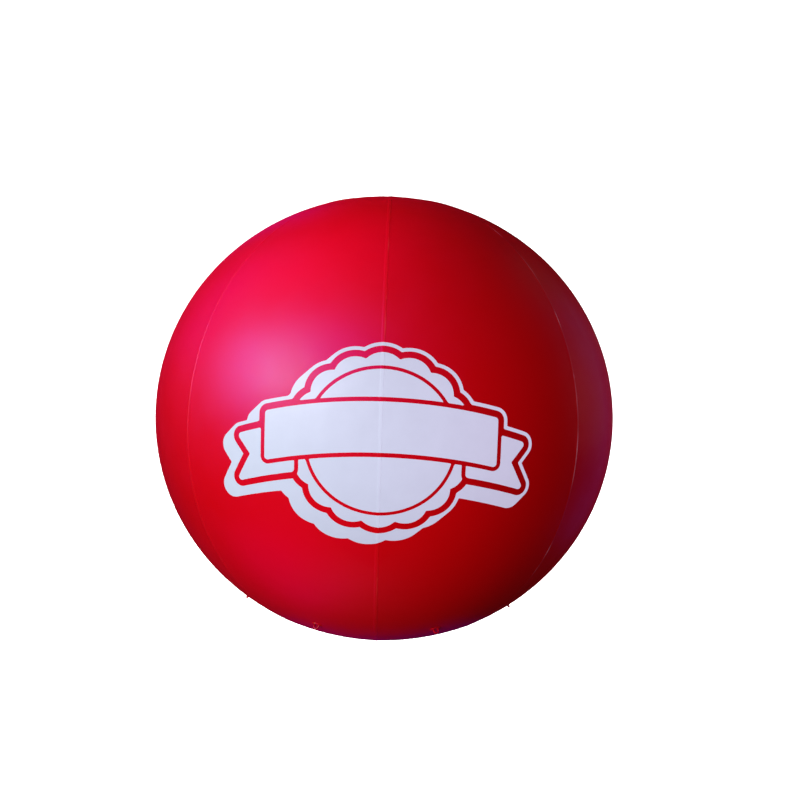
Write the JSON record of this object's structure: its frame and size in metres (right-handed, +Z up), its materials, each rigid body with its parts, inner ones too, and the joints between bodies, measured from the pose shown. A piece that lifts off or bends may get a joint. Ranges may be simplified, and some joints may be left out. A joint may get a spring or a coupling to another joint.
{
  "type": "advertising balloon",
  "caption": "Spherical welded PVC advertising balloon of gores with end caps, a filling valve with a flip lid, and eight tether lugs with eyes.",
  "frame": {"origin": "centre of the inflated ball", "axes": "+Z up through the crown cap, -Z through the filling valve, -Y through the weld in the middle of the printed side, +X to the right seen from that side"},
  "size_m": [2, 2, 1.958],
  "materials": {
    "skin": "satin red PVC film, welded",
    "print": "white screen ink on the film",
    "lug": "moulded red PVC",
    "valve": "moulded white PVC"
  },
  "bodies": {
    "envelope": {"gore_1": "skin", "gore_2": "skin", "gore_3": "skin", "gore_4": "skin", "gore_5": "skin", "gore_6": "skin", "gore_7": "skin", "gore_8": "skin", "crown_cap": "skin", "base_cap": "skin", "valve_body": "valve", "tether_lug_1": "lug", "tether_lug_2": "lug", "tether_lug_3": "lug", "tether_lug_4": "lug", "tether_lug_5": "lug", "tether_lug_6": "lug", "tether_lug_7": "lug", "tether_lug_8": "lug"},
    "valve_lid": {"valve_lid": "valve"}
  },
  "joints": [
    {"name": "valve_lid_hinge", "type": "hinge", "parent": "envelope", "child": "valve_lid", "pos_m": [0, 0.0245, -0.986], "axis": [1, 0, 0], "range_deg": [0, 120]}
  ]
}
